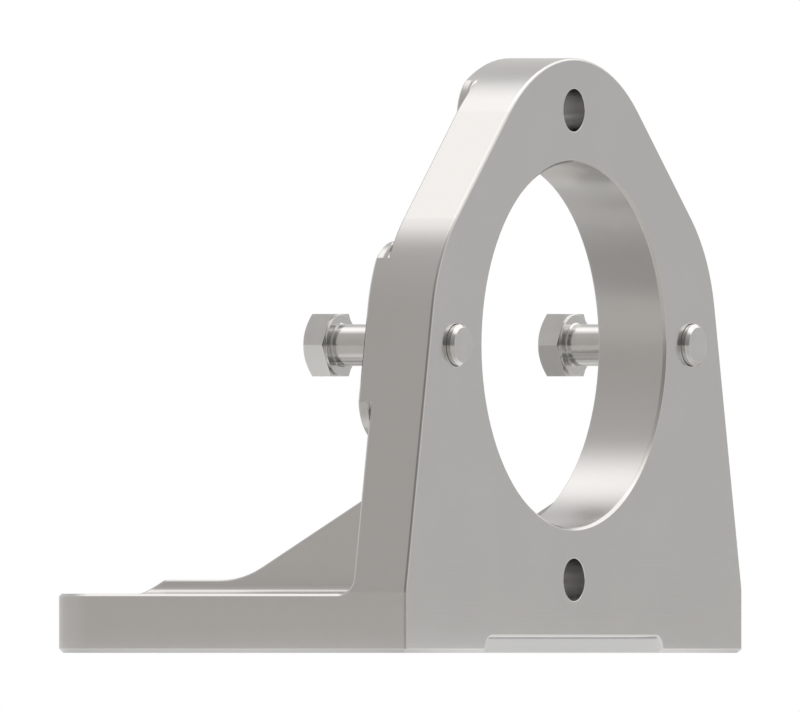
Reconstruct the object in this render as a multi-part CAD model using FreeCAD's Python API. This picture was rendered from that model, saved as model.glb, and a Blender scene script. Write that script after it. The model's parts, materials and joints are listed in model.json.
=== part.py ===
import FreeCAD, Part

import math
import os

V = FreeCAD.Vector

# Cylinder foot mount, in millimetres. The origin is where the axis of the big bore meets
# the flat front that the cylinder bolts to. X runs across that front, +Y runs back over
# the foot, and +Z is up. Everything but the bolts is one casting.

# Upright wall and its outline, seen from the front. The margins are the metal outside the
# bolt circle at the top and, level with the bore's axis, at the sides
centre_height = 118.0
base_width = 258.0
wall_thickness = 24.0
crown_radius = 70.0
crown_flank_angle = 45.0
shoulder_radius = 65.0
crown_margin = 20.0
side_margin = 21.1
side_blend_rise = 0.5
side_blend_radius = 12.0

# Pilot bore and the four bolt holes round it
bore_diameter = 140.0
bolt_circle_diameter = 180.0
bolt_hole_diameter = 16.5
bolt_hole_count = 4

# Raised facing on the back of the wall: a collar round the bore and a pad at each hole
facing_height = 5.5
collar_width = 8.0
pad_radius = 40.0
pad_corner_radius = 18.0
pad_overrun = 0.5
facing_root_radius = 2.0
facing_edge_chamfer = 1.0

# Foot plate
foot_length = 162.0
wing_thickness = 22.7
foot_corner_radius = 20.0

# Thicker middle of the foot, between its two wings
plateau_width = 160.0
plateau_thickness = 28.0
plateau_end = 135.6
plateau_run_out = 8.9
plateau_end_radius = 3.0

# Ribs, flush with the sides of that middle part
rib_thickness = 10.0
rib_top = 72.4
rib_slope = 30.0
rib_foot_radius = 35.0

# Relief under the foot, which leaves a bearing strip at each side
relief_width = 136.0
relief_depth = 6.0
relief_draft_angle = 15.0
relief_corner_radius = 4.5

# Holes that hold the foot down, two in each wing
foot_hole_diameter = 17.5
foot_hole_inset = 24.0
foot_hole_front = 50.0
foot_hole_spacing_y = 85.0

# Cast and machined edges
wing_corner_radius = 6.0
rib_root_radius = 3.5
outline_edge_radius = 1.0
back_rim_chamfer = 1.0
crest_edge_radius = 1.2
underside_chamfer = 1.5
bore_chamfer = 1.0

# Hexagon head bolts, standing loosely in the left and right holes
bolt_diameter = 16.0
bolt_length = 54.0
bolt_tip_proud = 3.0
bolt_tip_chamfer = 1.2
head_across_flats = 24.0
head_height = 10.0
head_chamfer_angle = 30.0
washer_face_diameter = 23.4
washer_face_height = 0.8
neck_flare = 0.5
wrench_clearance = 2.0

# How far a cutter starts outside the metal
cutter_overrun = 1.0

# How close counts as touching when edges are picked, and the margin round a picked region
touch = 0.001
pick_margin = 0.01

# Places worked out from the sizes above
half_width = base_width / 2
underside = -centre_height
wing_top = underside + wing_thickness
plateau_top = underside + plateau_thickness
facing_back = wall_thickness + facing_height
half_plateau = plateau_width / 2
foot_hole_x = half_width - foot_hole_inset
bore_radius = bore_diameter / 2
head_radius = head_across_flats / 2 / math.cos(math.radians(30))
bolt_reach = bolt_circle_diameter / 2
crown_height = bolt_reach + crown_margin
bolt_centres = []
for index in range(bolt_hole_count):
    turn = 2 * math.pi * index / bolt_hole_count
    bolt_centres.append((bolt_reach * math.cos(turn), bolt_reach * math.sin(turn)))


def rounded_wire(corners, place):
    """Closed outline through corners (a, b, radius), each radius a tangent arc. place puts
    the flat point (a, b) in space."""
    arcs = []
    count = len(corners)
    for i, (a, b, radius) in enumerate(corners):
        corner = V(a, b, 0)
        back = V(*corners[i - 1][:2], 0) - corner
        ahead = V(*corners[(i + 1) % count][:2], 0) - corner
        back.normalize()
        ahead.normalize()
        half = back.getAngle(ahead) / 2
        reach = radius / math.tan(half)
        middle = (back + ahead).normalize() * (radius / math.sin(half) - radius)
        arcs.append((corner + back * reach, corner + middle, corner + ahead * reach, radius))
    edges = []
    for i, (start, middle, end, radius) in enumerate(arcs):
        following = arcs[(i + 1) % count][0]
        points = [place(p.x, p.y) for p in (start, middle, end, following)]
        if radius > 0:
            edges.append(Part.Arc(*points[:3]).toShape())
        if end.distanceToPoint(following) > touch:
            edges.append(Part.makeLine(points[2], points[3]))
    return Part.Wire(edges)


def front_prism(wire, start, depth):
    """Solid from an outline drawn on the front, from y = start back by depth."""
    solid = Part.Face(wire).extrude(V(0, depth, 0))
    solid.translate(V(0, start, 0))
    return solid


def side_prism(corners, x_low, x_high):
    """Solid from an outline drawn in side view, as (y, z, radius) corners."""
    wire = rounded_wire(corners, lambda y, z: V(x_low, y, z))
    return Part.Face(wire).extrude(V(x_high - x_low, 0, 0))


def cylinder_back(x, z, radius, start, end):
    """Cylinder along +Y about the line (x, z)."""
    return Part.makeCylinder(radius, end - start, V(x, start, z), V(0, 1, 0))


def pick(shape, test):
    """Edges whose middle point and direction there pass the test."""
    chosen = []
    for edge in shape.Edges:
        if edge.Length > touch:
            at = (edge.FirstParameter + edge.LastParameter) / 2
            if test(edge.valueAt(at), edge.tangentAt(at)):
                chosen.append(edge)
    return chosen


def near(value, target):
    return abs(value - target) < touch


def lies_on(wire, point):
    return wire.distToShape(Part.Vertex(point))[0] < touch


def outline_wire(grow=0.0, drop=0.0):
    """Outline of the wall: upright sides as high as the wings, steep lower flanks, round
    shoulders, flanks that rise to the crown, and the round crown itself. The lower flank is
    tangent to its blend with the upright side and keeps the side margin. grow moves the
    sides and the top outwards, and drop lowers the bottom."""
    crown = math.radians(crown_flank_angle)
    flank_start = wing_top + side_blend_rise
    inwards = bolt_reach + side_margin - half_width + side_blend_radius
    to_blend = math.hypot(inwards, flank_start)
    lower = math.atan2(-flank_start, inwards) - math.acos(side_blend_radius / to_blend)
    side = half_width + grow
    crown_reach = (crown_height - crown_radius) * math.sin(crown) + crown_radius + grow
    side_corner = flank_start + side_blend_radius * math.tan(lower / 2)
    lower_reach = half_width * math.cos(lower) + side_corner * math.sin(lower) + grow
    between = math.sin(crown) * math.cos(lower) - math.cos(crown) * math.sin(lower)
    shoulder_x = (lower_reach * math.sin(crown) - crown_reach * math.sin(lower)) / between
    shoulder_z = (crown_reach * math.cos(lower) - lower_reach * math.cos(crown)) / between
    side_top = (lower_reach - side * math.cos(lower)) / math.sin(lower)
    corners = [
        (-side, underside - drop, 0),
        (side, underside - drop, 0),
        (side, side_top, side_blend_radius),
        (shoulder_x, shoulder_z, shoulder_radius + grow),
        (0, crown_reach / math.sin(crown), crown_radius + grow),
        (-shoulder_x, shoulder_z, shoulder_radius + grow),
        (-side, side_top, side_blend_radius),
    ]
    return rounded_wire(corners, lambda x, z: V(x, 0, z))


def facing_plan():
    """Collar round the bore and a pad at each bolt hole, as one plate. The pads run a little
    past the wall's outline. Corners are rounded where a pad leaves the outline, and where
    the pads meet the collar."""
    start = wall_thickness / 2
    collar_radius = bore_radius + collar_width
    past_outline = outline_wire(pad_overrun, pad_radius)
    shadow = front_prism(past_outline, start, facing_back - start)
    level_outline = past_outline.copy()
    level_outline.translate(V(0, (start + facing_back) / 2, 0))
    plate = cylinder_back(0, 0, collar_radius, start, facing_back)
    for x, z in bolt_centres:
        pad = cylinder_back(x, z, pad_radius, start, facing_back).common(shadow)

        def leaves_outline(point, along):
            on_rim = near(math.hypot(point.x - x, point.z - z), pad_radius)
            return on_rim and abs(along.y) > 0.9 and lies_on(level_outline, point)

        corners = pick(pad, leaves_outline)
        if corners:
            pad = pad.makeFillet(pad_corner_radius, corners)
        plate = plate.fuse(pad)
    plate = plate.removeSplitter()

    def meets_collar(point, along):
        on_collar = near(math.hypot(point.x, point.z), collar_radius)
        on_pad = any(near(math.hypot(point.x - x, point.z - z), pad_radius)
                     for x, z in bolt_centres)
        return on_collar and on_pad and abs(along.y) > 0.9

    return plate.makeFillet(pad_corner_radius / 2, pick(plate, meets_collar))


def facing():
    """The raised facing: blended into the back of the wall at its root, chamfered at its
    edge, and trimmed flush with the wall's outline. Its root in the wall and the part that
    stands behind the wall come as two solids."""
    plan = facing_plan()
    side = base_width + centre_height
    corner = V(-side / 2, 0, -side / 2)
    slab = Part.makeBox(side, wall_thickness, side, corner).fuse(plan).removeSplitter()

    def root(point, along):
        reach = max(abs(point.x), abs(point.z))
        return near(point.y, wall_thickness) and not near(reach, side / 2)

    def back_edge(point, along):
        return near(point.y, facing_back) and point.z > underside + touch

    slab = slab.makeFillet(facing_root_radius, pick(slab, root))
    slab = slab.makeChamfer(facing_edge_chamfer, pick(slab, back_edge))
    envelope = front_prism(outline_wire(), 0, facing_back)
    envelope = envelope.makeChamfer(facing_edge_chamfer, pick(envelope, back_edge))
    behind_wall = Part.makeBox(side, facing_back, side, corner + V(0, wall_thickness, 0))
    in_wall = Part.makeBox(side, wall_thickness, side, corner + V(0, facing_height / 2, 0))
    return [slab.common(behind_wall).common(envelope), plan.common(in_wall).common(envelope)]


def foot_plate():
    """Flat plate under everything, with its two back corners rounded in plan."""
    plan = [
        (-half_width, 0, 0),
        (half_width, 0, 0),
        (half_width, foot_length, foot_corner_radius),
        (-half_width, foot_length, foot_corner_radius),
    ]
    wire = rounded_wire(plan, lambda x, y: V(x, y, underside))
    return Part.Face(wire).extrude(V(0, 0, wing_thickness))


def plateau():
    """Thicker middle of the foot, which slopes down to the wings' level at its back."""
    start = wall_thickness / 2
    corners = [
        (start, underside, 0),
        (plateau_end + plateau_run_out, underside, 0),
        (plateau_end + plateau_run_out, wing_top, 0),
        (plateau_end, plateau_top, plateau_end_radius),
        (start, plateau_top, 0),
    ]
    return side_prism(corners, -half_plateau, half_plateau)


def rib(side):
    """One rib: it slopes from the back of the wall and runs out on the foot in a big arc."""
    start = wall_thickness / 2
    slope = math.tan(math.radians(rib_slope))
    top = underside + rib_top
    foot_y = wall_thickness + (top - plateau_top) / slope
    tail = rib_foot_radius * math.tan(math.radians(rib_slope / 2))
    corners = [
        (start, underside + wing_thickness / 2, 0),
        (foot_y + tail, underside + wing_thickness / 2, 0),
        (foot_y + tail, plateau_top, 0),
        (foot_y, plateau_top, rib_foot_radius),
        (wall_thickness, top, 0),
        (start, top, 0),
    ]
    inner = side * (half_plateau - rib_thickness)
    outer = side * half_plateau
    return side_prism(corners, min(inner, outer), max(inner, outer))


def relief():
    """Shallow channel under the foot from front to back, with drafted sides."""
    draft = relief_depth * math.tan(math.radians(relief_draft_angle))
    bottom = relief_width / 2
    spread = cutter_overrun * math.tan(math.radians(relief_draft_angle))
    corners = [
        (-bottom - spread, underside - cutter_overrun, 0),
        (bottom + spread, underside - cutter_overrun, 0),
        (bottom - draft, underside + relief_depth, relief_corner_radius),
        (-bottom + draft, underside + relief_depth, relief_corner_radius),
    ]
    wire = rounded_wire(corners, lambda x, z: V(x, 0, z))
    return front_prism(wire, -cutter_overrun, foot_length + 2 * cutter_overrun)


def hole_cutters():
    """Pilot bore, bolt holes, the trough that lets the lowest bolt and its wrench in over
    the foot, and the holding-down holes."""
    front = -cutter_overrun
    back = facing_back + cutter_overrun
    cutters = [cylinder_back(0, 0, bore_radius, front, back)]
    for x, z in bolt_centres:
        cutters.append(cylinder_back(x, z, bolt_hole_diameter / 2, front, back))
    trough_radius = head_radius + wrench_clearance
    end = foot_length + cutter_overrun
    cutters.append(cylinder_back(0, -bolt_reach, trough_radius, facing_back, end))
    for x in (-foot_hole_x, foot_hole_x):
        for y in (foot_hole_front, foot_hole_front + foot_hole_spacing_y):
            start = V(x, y, underside - cutter_overrun)
            height = wing_thickness + 2 * cutter_overrun
            cutters.append(Part.makeCylinder(foot_hole_diameter / 2, height, start))
    return cutters


def round_inner_corners(body):
    """Casting fillets where the wings meet the wall, and round the ribs and the plateau."""
    rib_inner = half_plateau - rib_thickness
    rib_crest = underside + rib_top

    def wing_corner(point, along):
        return (near(point.y, wall_thickness) and near(point.z, wing_top)
                and abs(point.x) > half_plateau)

    def rib_outside(point, along):
        on_side = near(abs(point.x), half_plateau)
        on_wing = near(point.z, wing_top)
        on_wall = near(point.y, wall_thickness) and point.z < rib_crest
        in_corner = (wall_thickness < point.y < wall_thickness + wing_corner_radius
                     and wing_top < point.z < wing_top + wing_corner_radius)
        return on_side and (on_wing or on_wall or in_corner)

    def rib_inside(point, along):
        on_wall = near(point.y, wall_thickness) and point.z < rib_crest
        return near(abs(point.x), rib_inner) and (near(point.z, plateau_top) or on_wall)

    def plateau_back(point, along):
        return near(point.y, plateau_end + plateau_run_out) and near(point.z, wing_top)

    body = body.makeFillet(wing_corner_radius, pick(body, wing_corner))
    body = body.makeFillet(rib_root_radius, pick(body, rib_outside))
    body = body.makeFillet(rib_root_radius, pick(body, rib_inside))
    return body.makeFillet(rib_root_radius, pick(body, plateau_back))


def round_outer_edges(body):
    """Small roundings and chamfers on the free edges of the wall, the foot and the ribs."""
    outline = outline_wire()
    outline.translate(V(0, wall_thickness, 0))
    corner_start = half_width - foot_corner_radius

    def outer_crest(point, along):
        on_top = point.z > plateau_top - touch and abs(along.z) < 0.99
        behind_wall = point.y > wall_thickness + pick_margin
        return near(abs(point.x), half_plateau) and on_top and behind_wall

    def wall_rim(point, along):
        return near(point.y, wall_thickness) and lies_on(outline, point) and point.z > wing_top

    def wing_corner_rim(point, along):
        in_depth = wall_thickness - pick_margin < point.y < wall_thickness + wing_corner_radius
        in_height = wing_top < point.z < wing_top + wing_corner_radius + pick_margin
        on_side = abs(point.x) > half_width - side_blend_radius and abs(along.y) < 0.99
        return in_depth and in_height and on_side

    def wing_rim(point, along):
        in_round = point.y > foot_length - foot_corner_radius and abs(point.x) > corner_start
        on_edge = near(abs(point.x), half_width) or near(point.y, foot_length) or in_round
        return near(point.z, wing_top) and point.y > wall_thickness and on_edge

    def back_rim(point, along):
        return any(test(point, along) for test in (wall_rim, wing_corner_rim, wing_rim))

    def bottom(point, along):
        return near(point.z, underside)

    def front(point, along):
        return near(point.y, 0) and point.z > underside + underside_chamfer + pick_margin

    body = body.makeFillet(crest_edge_radius, pick(body, outer_crest))
    body = body.makeChamfer(back_rim_chamfer, pick(body, back_rim))
    body = body.makeChamfer(underside_chamfer, pick(body, bottom))
    return body.makeFillet(outline_edge_radius, pick(body, front))


def round_openings(body):
    """Rounded mouth of the relief and chamfered mouth of the pilot bore."""

    def relief_mouth(point, along):
        in_height = underside_chamfer < point.z - underside < relief_depth + pick_margin
        return near(point.y, 0) and in_height and abs(point.x) < relief_width / 2

    def bore_mouth(point, along):
        return near(math.hypot(point.x, point.z), bore_radius) and near(point.y, 0)

    body = body.makeFillet(outline_edge_radius, pick(body, relief_mouth))
    return body.makeChamfer(bore_chamfer, pick(body, bore_mouth))


def foot_bracket():
    wall = front_prism(outline_wire(), 0, wall_thickness)
    body = wall.fuse([foot_plate(), plateau(), rib(-1), rib(1)]).removeSplitter()
    body = round_inner_corners(body)
    body = round_outer_edges(body)
    body = body.fuse(facing()).removeSplitter()
    body = body.cut([relief()] + hole_cutters()).removeSplitter()
    return round_openings(body)


def bolt(x, z):
    """Bolt with its point to the front and its head behind the wall, flats at top and
    bottom. Its seat under the head is a thin round washer face."""
    tip = -bolt_tip_proud
    seat = tip + bolt_length
    top = seat + head_height
    shank = bolt_diameter / 2
    face = washer_face_diameter / 2
    half_flats = head_across_flats / 2
    chamfer = (head_radius - half_flats) * math.tan(math.radians(head_chamfer_angle))
    turned = [
        (0, tip),
        (shank - bolt_tip_chamfer, tip),
        (shank, tip + bolt_tip_chamfer),
        (shank, seat - neck_flare),
        (shank + neck_flare, seat),
        (face, seat),
        (face, seat + washer_face_height),
        (head_radius, seat + washer_face_height),
        (head_radius, top - chamfer),
        (half_flats, top),
        (0, top),
    ]
    points = [V(radius, y, 0) for radius, y in turned]
    blank = Part.Face(Part.makePolygon(points + [points[0]])).revolve(V(0, 0, 0), V(0, 1, 0), 360)
    corners = []
    for index in range(6):
        turn = math.radians(60 * index)
        corners.append(V(head_radius * math.cos(turn), tip, head_radius * math.sin(turn)))
    hexagon = Part.Face(Part.makePolygon(corners + [corners[0]])).extrude(V(0, top - tip, 0))
    solid = blank.common(hexagon)
    solid.translate(V(x, 0, z))
    return solid


def main():
    os.makedirs("parts", exist_ok=True)
    pieces = {
        "foot_bracket": foot_bracket(),
        "left_bolt": bolt(-bolt_reach, 0),
        "right_bolt": bolt(bolt_reach, 0),
    }
    for name, shape in pieces.items():
        solid = shape.Solids[0]
        assert len(shape.Solids) == 1 and solid.isValid(), name
        solid.exportStep("parts/" + name + ".step")
        box = solid.BoundBox
        print(name, round(solid.Volume / 1000, 2), "cm3", len(solid.Faces), "faces",
              [round(v, 2) for v in (box.XMin, box.YMin, box.ZMin, box.XMax, box.YMax, box.ZMax)])


main()
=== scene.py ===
import json
import math

import bpy
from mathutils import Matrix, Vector


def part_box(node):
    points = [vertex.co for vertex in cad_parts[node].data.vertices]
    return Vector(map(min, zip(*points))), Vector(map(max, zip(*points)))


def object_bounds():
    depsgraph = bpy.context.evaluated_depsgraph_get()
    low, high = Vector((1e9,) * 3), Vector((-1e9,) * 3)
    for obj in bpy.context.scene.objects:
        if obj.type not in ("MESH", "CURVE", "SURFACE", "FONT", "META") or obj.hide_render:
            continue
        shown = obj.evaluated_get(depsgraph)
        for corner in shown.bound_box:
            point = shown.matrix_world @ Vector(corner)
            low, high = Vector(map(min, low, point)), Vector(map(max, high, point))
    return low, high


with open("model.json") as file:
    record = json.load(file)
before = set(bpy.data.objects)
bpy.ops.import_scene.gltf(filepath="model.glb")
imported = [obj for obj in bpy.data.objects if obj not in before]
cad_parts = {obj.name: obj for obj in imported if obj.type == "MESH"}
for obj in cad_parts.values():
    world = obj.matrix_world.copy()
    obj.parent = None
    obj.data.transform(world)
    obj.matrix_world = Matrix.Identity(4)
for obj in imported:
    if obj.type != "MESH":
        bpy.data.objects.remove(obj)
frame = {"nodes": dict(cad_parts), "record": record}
cad_low, cad_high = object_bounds()
MM = 0.001

# Foot bracket
# One aluminium casting that carries a cylinder by its end face: a wall with the pilot bore, and a
# ribbed foot. It is cast, fine blasted all over, and then milled and bored where other parts fit.

bracket = frame["nodes"]["foot_bracket"]
bracket_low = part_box("foot_bracket")[0]
mounts = {mount["name"]: mount for mount in frame["record"]["mounts"]}
pilot_radius = mounts["pilot_bore"]["dims"]["r_mm"] * MM

skin_depth = 0.4 * MM                  # how far from a milled plane still counts as milled
bore_skin = 0.6 * MM                   # and how far out from the bore still counts as bored
facing_plane = 30.0 * MM               # the milled facing on the back lies near this plane
facing_skin = 1.0 * MM
foot_reach = 40.0 * MM                 # level faces up to this height belong to the foot

grit_size = 0.7 * MM                   # blasting grit leaves 0.2 mm dimples, drawn coarser to show
cast_swirl = 38.0 * MM                 # slow unevenness of a casting's skin
tool_pitch = 1.6 * MM                  # feed of the face mill is 0.3 mm, drawn coarser to show
wave_scale = math.tau / 20             # a wave texture of this scale has one band per unit
relief_depth = 0.02 * MM               # depth of the dimples
mark_depth = 0.3                       # depth of the tool marks against that of the dimples

blunt_radius = 0.4 * MM                # what blasting and deburring take off a sharp edge
rubbed_width = 1.2 * MM                # handling rubs about this much of each edge bright
rub_begins, rub_full = 0.99, 0.85      # cosines of how far a blunted edge turns: 8 and 32 degrees
sloping, level = 0.7, 0.95             # cosines of the slope of a face: 45 and 18 degrees

bored_roughness = 0.26
foot_top_roughness = 0.5               # a guess, as the photograph looks level across the foot


def linear(code):
    """An sRGB colour such as #d8d7d4 as the linear values that the shader takes."""
    values = [int(code[i:i + 2], 16) / 255 for i in (1, 3, 5)]
    values = [v / 12.92 if v <= 0.04045 else ((v + 0.055) / 1.055) ** 2.4 for v in values]
    return (*values, 1.0)


def add(tree, kind, links=None, inputs=None, **settings):
    """One node: its settings, the values on its sockets, and what feeds its sockets."""
    node = tree.nodes.new(kind)
    for name, value in settings.items():
        setattr(node, name, value)
    for socket, value in (inputs or {}).items():
        node.inputs[socket].default_value = value
    for socket, source in (links or {}).items():
        tree.links.new(source, node.inputs[socket])
    return node


def empty_material(name):
    """A material with nothing in its tree yet."""
    material = bpy.data.materials.new(name)
    material.use_nodes = True
    material.node_tree.nodes.clear()
    return material


def blunted(tree, radius):
    """The surface's direction where its edges are taken for rounded."""
    return add(tree, "ShaderNodeBevel", samples=8, inputs={"Radius": radius}).outputs["Normal"]


def rubbed_edges(tree, width):
    """From 0 on open surfaces to 1 on the edges that get rubbed in use."""
    surface = add(tree, "ShaderNodeNewGeometry")
    agreement = add(tree, "ShaderNodeVectorMath", operation="DOT_PRODUCT",
                    links={0: blunted(tree, width), 1: surface.outputs["Normal"]})
    return add(tree, "ShaderNodeMapRange", links={"Value": agreement.outputs["Value"]},
               inputs={"From Min": rub_begins, "From Max": rub_full}).outputs["Result"]


def spread(tree, noise, low, high):
    """The middle of a noise, where most of its values lie, drawn out from low to high."""
    return add(tree, "ShaderNodeMapRange", links={"Value": noise},
               inputs={"From Min": 0.3, "From Max": 0.7, "To Min": low, "To Max": high}
               ).outputs["Result"]


def bored_place(tree, place):
    """1 in the pilot bore, which is turned out after casting."""
    across = add(tree, "ShaderNodeVectorMath", operation="MULTIPLY", links={0: place},
                 inputs={1: (1.0, 0.0, 1.0)})
    radius = add(tree, "ShaderNodeVectorMath", operation="LENGTH", links={0: across.outputs[0]})
    return add(tree, "ShaderNodeMath", operation="LESS_THAN", links={0: radius.outputs["Value"]},
               inputs={1: pilot_radius + bore_skin}).outputs[0]


def milled_places(tree, place):
    """1 on the planes that are milled after casting: the mating face, the facing on the back
    and the bearing strips underneath."""
    xyz = add(tree, "ShaderNodeSeparateXYZ", links={0: place})
    front = add(tree, "ShaderNodeMath", operation="LESS_THAN", links={0: xyz.outputs["Y"]},
                inputs={1: bracket_low.y + skin_depth})
    facing = add(tree, "ShaderNodeMath", operation="COMPARE", links={0: xyz.outputs["Y"]},
                 inputs={1: facing_plane, 2: facing_skin})
    strips = add(tree, "ShaderNodeMath", operation="LESS_THAN", links={0: xyz.outputs["Z"]},
                 inputs={1: bracket_low.z + skin_depth})
    upright = add(tree, "ShaderNodeMath", operation="MAXIMUM",
                  links={0: front.outputs[0], 1: facing.outputs[0]})
    return add(tree, "ShaderNodeMath", operation="MAXIMUM",
               links={0: upright.outputs[0], 1: strips.outputs[0]}).outputs[0]


def foot_top(tree, place):
    """1 on the level upper side of the foot. It is taken for coarser than the rest, which calms
    the foot's reflection in the bore."""
    surface = add(tree, "ShaderNodeNewGeometry")
    normal = add(tree, "ShaderNodeSeparateXYZ", links={0: surface.outputs["Normal"]})
    facing_up = add(tree, "ShaderNodeMapRange", links={"Value": normal.outputs["Z"]},
                    inputs={"From Min": sloping, "From Max": level})
    xyz = add(tree, "ShaderNodeSeparateXYZ", links={0: place})
    low_down = add(tree, "ShaderNodeMath", operation="LESS_THAN", links={0: xyz.outputs["Z"]},
                   inputs={1: bracket_low.z + foot_reach})
    return add(tree, "ShaderNodeMath", operation="MULTIPLY",
               links={0: facing_up.outputs["Result"], 1: low_down.outputs[0]}).outputs[0]


def blasted_cast_aluminium():
    """Blasted cast aluminium: a soft grey metal whose fine dimples blur what it reflects into
    broad tones. Its milled faces are a little smoother and so reflect more clearly."""
    material = empty_material("blasted_cast_aluminium")
    tree = material.node_tree
    place = add(tree, "ShaderNodeTexCoord").outputs["Object"]
    milled = milled_places(tree, place)
    bored = bored_place(tree, place)
    rubbed = rubbed_edges(tree, rubbed_width)
    swirl = add(tree, "ShaderNodeTexNoise", links={"Vector": place},
                inputs={"Scale": 1 / cast_swirl, "Detail": 3.0, "Roughness": 0.55}).outputs["Fac"]
    grit = add(tree, "ShaderNodeTexNoise", links={"Vector": place},
               inputs={"Scale": 1 / grit_size, "Detail": 1.0, "Roughness": 0.5})
    mill_marks, bore_marks = (
        add(tree, "ShaderNodeTexWave", wave_type="BANDS", bands_direction=axis,
            links={"Vector": place},
            inputs={"Scale": wave_scale / tool_pitch, "Distortion": 0.6, "Detail": 1.0})
        for axis in "ZY")

    skin = add(tree, "ShaderNodeMix", data_type="RGBA", links={"Factor": swirl},
               inputs={"A": linear("#cbcbca"), "B": linear("#d1d0cf")})
    speck = add(tree, "ShaderNodeMix", data_type="RGBA", blend_type="MULTIPLY",
                links={"A": skin.outputs["Result"], "B": grit.outputs["Color"]},
                inputs={"Factor": 0.05})
    worn = add(tree, "ShaderNodeMix", data_type="RGBA",
               links={"Factor": rubbed, "A": speck.outputs["Result"]},
               inputs={"B": linear("#dedddb")})

    flat_roughness = add(tree, "ShaderNodeMix", data_type="FLOAT",
                         links={"Factor": milled, "A": spread(tree, swirl, 0.20, 0.24),
                                "B": spread(tree, swirl, 0.16, 0.19)})
    foot_roughness = add(tree, "ShaderNodeMix", data_type="FLOAT",
                         links={"Factor": foot_top(tree, place),
                                "A": flat_roughness.outputs["Result"]},
                         inputs={"B": foot_top_roughness})
    roughness = add(tree, "ShaderNodeMix", data_type="FLOAT",
                    links={"Factor": bored, "A": foot_roughness.outputs["Result"]},
                    inputs={"B": bored_roughness})

    marks = add(tree, "ShaderNodeMix", data_type="FLOAT",
                links={"Factor": bored, "A": mill_marks.outputs["Fac"],
                       "B": bore_marks.outputs["Fac"]})
    shallow_marks = add(tree, "ShaderNodeMath", operation="MULTIPLY",
                        links={0: marks.outputs["Result"]}, inputs={1: mark_depth})
    machined = add(tree, "ShaderNodeMath", operation="MAXIMUM", links={0: milled, 1: bored})
    relief = add(tree, "ShaderNodeMix", data_type="FLOAT",
                 links={"Factor": machined.outputs[0], "A": grit.outputs["Fac"],
                        "B": shallow_marks.outputs[0]})
    dimples = add(tree, "ShaderNodeBump",
                  links={"Height": relief.outputs["Result"], "Normal": blunted(tree, blunt_radius)},
                  inputs={"Strength": 0.12, "Distance": relief_depth})
    metal = add(tree, "ShaderNodeBsdfPrincipled", inputs={"Metallic": 1.0},
                links={"Base Color": worn.outputs["Result"],
                       "Roughness": roughness.outputs["Result"],
                       "Normal": dimples.outputs["Normal"]})
    add(tree, "ShaderNodeOutputMaterial", links={"Surface": metal.outputs["BSDF"]})
    return material


bracket.data.materials.clear()
bracket.data.materials.append(blasted_cast_aluminium())

# Hexagon bolts
# Two steel hexagon bolts, cold headed, rolled and then bright zinc plated. They stand loosely in
# the left and right holes of the wall, heads behind it and points just through the front.

bolts = [frame["nodes"]["left_bolt"], frame["nodes"]["right_bolt"]]
draw_line = 0.5 * MM                   # drawing lines along the shank are 0.1 mm, drawn coarser
line_stretch = 25                      # and this much longer than wide
plating_cloud = 6.0 * MM               # zinc brightness changes over a few millimetres
bolt_blunt_radius = 0.25 * MM
bolt_rubbed_width = 0.8 * MM


def bright_zinc_plated_steel():
    """Bright zinc plate on steel: a clear, slightly cool silver that mirrors its surroundings
    with a thin haze, and is rubbed brighter on the corners of the head."""
    material = empty_material("bright_zinc_plated_steel")
    tree = material.node_tree
    place = add(tree, "ShaderNodeTexCoord").outputs["Object"]
    rubbed = rubbed_edges(tree, bolt_rubbed_width)
    cloud = add(tree, "ShaderNodeTexNoise", links={"Vector": place},
                inputs={"Scale": 1 / plating_cloud, "Detail": 2.0}).outputs["Fac"]
    stretched = add(tree, "ShaderNodeMapping", links={"Vector": place},
                    inputs={"Scale": (1 / draw_line, 1 / draw_line / line_stretch, 1 / draw_line)})
    drawn = add(tree, "ShaderNodeTexNoise", links={"Vector": stretched.outputs["Vector"]},
                inputs={"Scale": 1.0, "Detail": 1.0})
    plate = add(tree, "ShaderNodeMix", data_type="RGBA", links={"Factor": cloud},
                inputs={"A": linear("#cacac9"), "B": linear("#d5d5d3")})
    worn = add(tree, "ShaderNodeMix", data_type="RGBA",
               links={"Factor": rubbed, "A": plate.outputs["Result"]},
               inputs={"B": linear("#e6e6e4")})
    lines = add(tree, "ShaderNodeBump",
                links={"Height": drawn.outputs["Fac"], "Normal": blunted(tree, bolt_blunt_radius)},
                inputs={"Strength": 0.06, "Distance": relief_depth})
    metal = add(tree, "ShaderNodeBsdfPrincipled", inputs={"Metallic": 1.0},
                links={"Base Color": worn.outputs["Result"],
                       "Roughness": spread(tree, cloud, 0.14, 0.19),
                       "Normal": lines.outputs["Normal"]})
    add(tree, "ShaderNodeOutputMaterial", links={"Surface": metal.outputs["BSDF"]})
    return material


zinc = bright_zinc_plated_steel()
for bolt in bolts:
    bolt.data.materials.clear()
    bolt.data.materials.append(zinc)

# Floor
# A plain pale light table that the foot stands on: an opal acrylic sheet with a lamp under its
# middle, which lights the underside of the object. It is no part of the object.

floor_size = 6.0
floor_gap = 0.05 * MM                  # or the bearing strips would lie in the floor's own plane
lit_radius = 0.10                      # full glow within this distance of the middle
fade_radius = 0.25                     # and none beyond this one
lit_strength = 0.8
mottle_size = 25.0 * MM
plan_middle = (cad_low + cad_high) / 2
bpy.ops.mesh.primitive_plane_add(size=floor_size,
                                 location=(plan_middle.x, plan_middle.y, cad_low.z - floor_gap))
floor = bpy.context.object
floor.name = "light_table"


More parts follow.
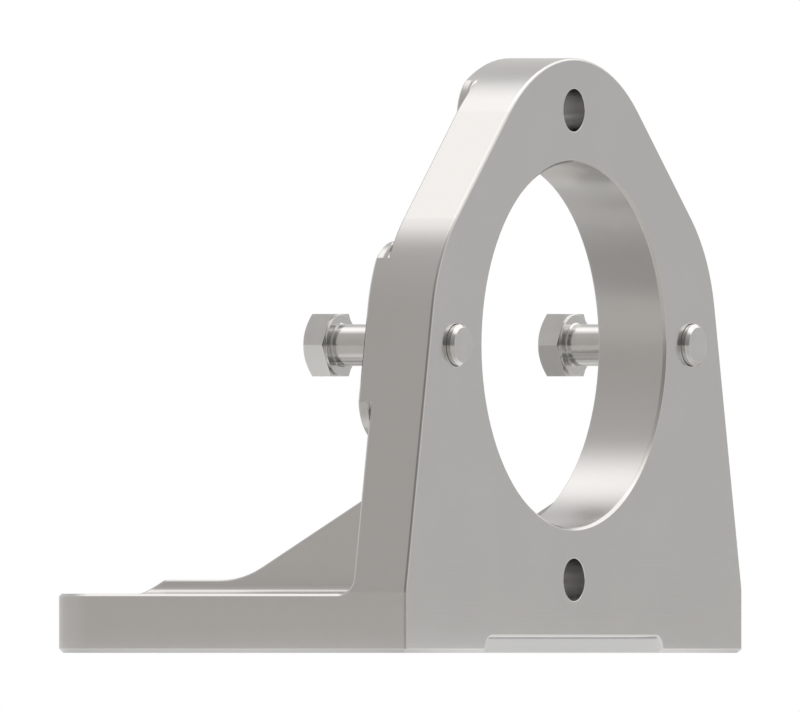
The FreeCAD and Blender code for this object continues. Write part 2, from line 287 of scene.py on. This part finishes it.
def opal_acrylic_sheet():
    """Opal acrylic: an even white sheet with a matt face. Lit from below it glows softly, and
    there it returns less of the light from above."""
    material = empty_material("opal_acrylic_sheet")
    tree = material.node_tree
    place = add(tree, "ShaderNodeTexCoord").outputs["Object"]
    distance = add(tree, "ShaderNodeVectorMath", operation="LENGTH", links={0: place})
    lit = add(tree, "ShaderNodeMapRange", interpolation_type="SMOOTHSTEP",
              links={"Value": distance.outputs["Value"]},
              inputs={"From Min": fade_radius, "From Max": lit_radius}).outputs["Result"]
    mottle = add(tree, "ShaderNodeTexNoise", links={"Vector": place},
                 inputs={"Scale": 1 / mottle_size, "Detail": 2.0})
    tone = add(tree, "ShaderNodeMix", data_type="RGBA", links={"Factor": mottle.outputs["Fac"]},
               inputs={"A": linear("#cfcecc"), "B": linear("#d2d1cf")})
    body = add(tree, "ShaderNodeMix", data_type="RGBA",
               links={"Factor": lit, "A": tone.outputs["Result"]},
               inputs={"B": linear("#989896")})
    glow = add(tree, "ShaderNodeMath", operation="MULTIPLY", links={0: lit},
               inputs={1: lit_strength})
    sheet = add(tree, "ShaderNodeBsdfPrincipled",
                links={"Base Color": body.outputs["Result"], "Emission Strength": glow.outputs[0]},
                inputs={"Roughness": 0.9, "Specular IOR Level": 0.1,
                        "Emission Color": linear("#ffffff")})
    add(tree, "ShaderNodeOutputMaterial", links={"Surface": sheet.outputs["BSDF"]})
    return material


floor.data.materials.append(opal_acrylic_sheet())

# Light
# A white studio tent, brightest behind the object and dimmest behind the camera. Soft lamps glow
# through it: one overhead, two high up in front and a small one level with the object. Upright
# faces turn mid grey, those that slope up nearly white, and front edges get thin light lines.

bright_turn = math.radians(30)
tent_bright_side = Vector((math.cos(bright_turn), math.sin(bright_turn), 0))
tent_tones = [                         # from the dimmest side to the brightest
    (0.0, "#807e7b"),
    (0.25, "#c4c0bc"),
    (0.43, "#cdcac8"),
    (0.75, "#d3d2d1"),
    (1.0, "#e1dedc"),
]
lamps = [                              # turn, height, core and reach in degrees, and strength
    (60, 78, 10, 38, 1.35),
    (-25, 45, 20, 42, 0.9),
    (-58, 8, 4, 22, 0.4),
    (-82, 52, 6, 20, 0.9),
]

world = bpy.data.worlds.new("studio_tent")
bpy.context.scene.world = world
world.use_nodes = True
world.node_tree.nodes.clear()
tree = world.node_tree
direction = add(tree, "ShaderNodeTexCoord").outputs["Generated"]
towards = add(tree, "ShaderNodeVectorMath", operation="DOT_PRODUCT", links={0: direction},
              inputs={1: tent_bright_side})
share = add(tree, "ShaderNodeMapRange", links={"Value": towards.outputs["Value"]},
            inputs={"From Min": -1.0, "From Max": 1.0})
tent = add(tree, "ShaderNodeValToRGB", links={"Fac": share.outputs["Result"]})
for position, code in tent_tones[1:-1]:
    tent.color_ramp.elements.new(position)
for element, (position, code) in zip(tent.color_ramp.elements, tent_tones):
    element.position = position
    element.color = linear(code)
light = add(tree, "ShaderNodeBackground", links={"Color": tent.outputs["Color"]})

for lamp_turn, lamp_height, core, reach, strength in lamps:
    turn, height = math.radians(lamp_turn), math.radians(lamp_height)
    towards_lamp = Vector((math.cos(turn) * math.cos(height), math.sin(turn) * math.cos(height),
                           math.sin(height)))
    aim = add(tree, "ShaderNodeVectorMath", operation="DOT_PRODUCT", links={0: direction},
              inputs={1: towards_lamp})
    angle = add(tree, "ShaderNodeMath", operation="ARCCOSINE", links={0: aim.outputs["Value"]})
    glow = add(tree, "ShaderNodeMapRange", interpolation_type="SMOOTHSTEP",
               links={"Value": angle.outputs[0]},
               inputs={"From Min": math.radians(reach), "From Max": math.radians(core),
                       "To Max": strength})
    lamp = add(tree, "ShaderNodeBackground", links={"Strength": glow.outputs["Result"]},
               inputs={"Color": linear("#fffcf9")})
    light = add(tree, "ShaderNodeAddShader", links={0: light.outputs[0], 1: lamp.outputs[0]})

# The tent itself is out of the picture, whose background stays white as in the photograph.
white = add(tree, "ShaderNodeBackground", inputs={"Color": linear("#ffffff")})
seen = add(tree, "ShaderNodeLightPath").outputs["Is Camera Ray"]
backdrop = add(tree, "ShaderNodeMixShader",
               links={0: seen, 1: light.outputs[0], 2: white.outputs[0]})
add(tree, "ShaderNodeOutputWorld", links={"Surface": backdrop.outputs[0]})
bpy.context.scene.view_settings.view_transform = "Standard"

# Camera
# Level with the bore and turned 60 degrees to the left of the front, as in the photograph. It has
# no perspective.

view_turn = math.radians(60)
picture_centre = Vector((-33.38, 57.81, -4.18)) * MM
picture_width = 306.7 * MM
camera_distance = 1.5

camera = bpy.data.objects.new("camera", bpy.data.cameras.new("camera"))
bpy.context.scene.collection.objects.link(camera)
camera.data.type = "ORTHO"
camera.data.ortho_scale = picture_width
towards_camera = Vector((-math.sin(view_turn), -math.cos(view_turn), 0))
camera.location = picture_centre + camera_distance * towards_camera
camera.rotation_euler = towards_camera.to_track_quat("Z", "Y").to_euler()
bpy.context.scene.camera = camera
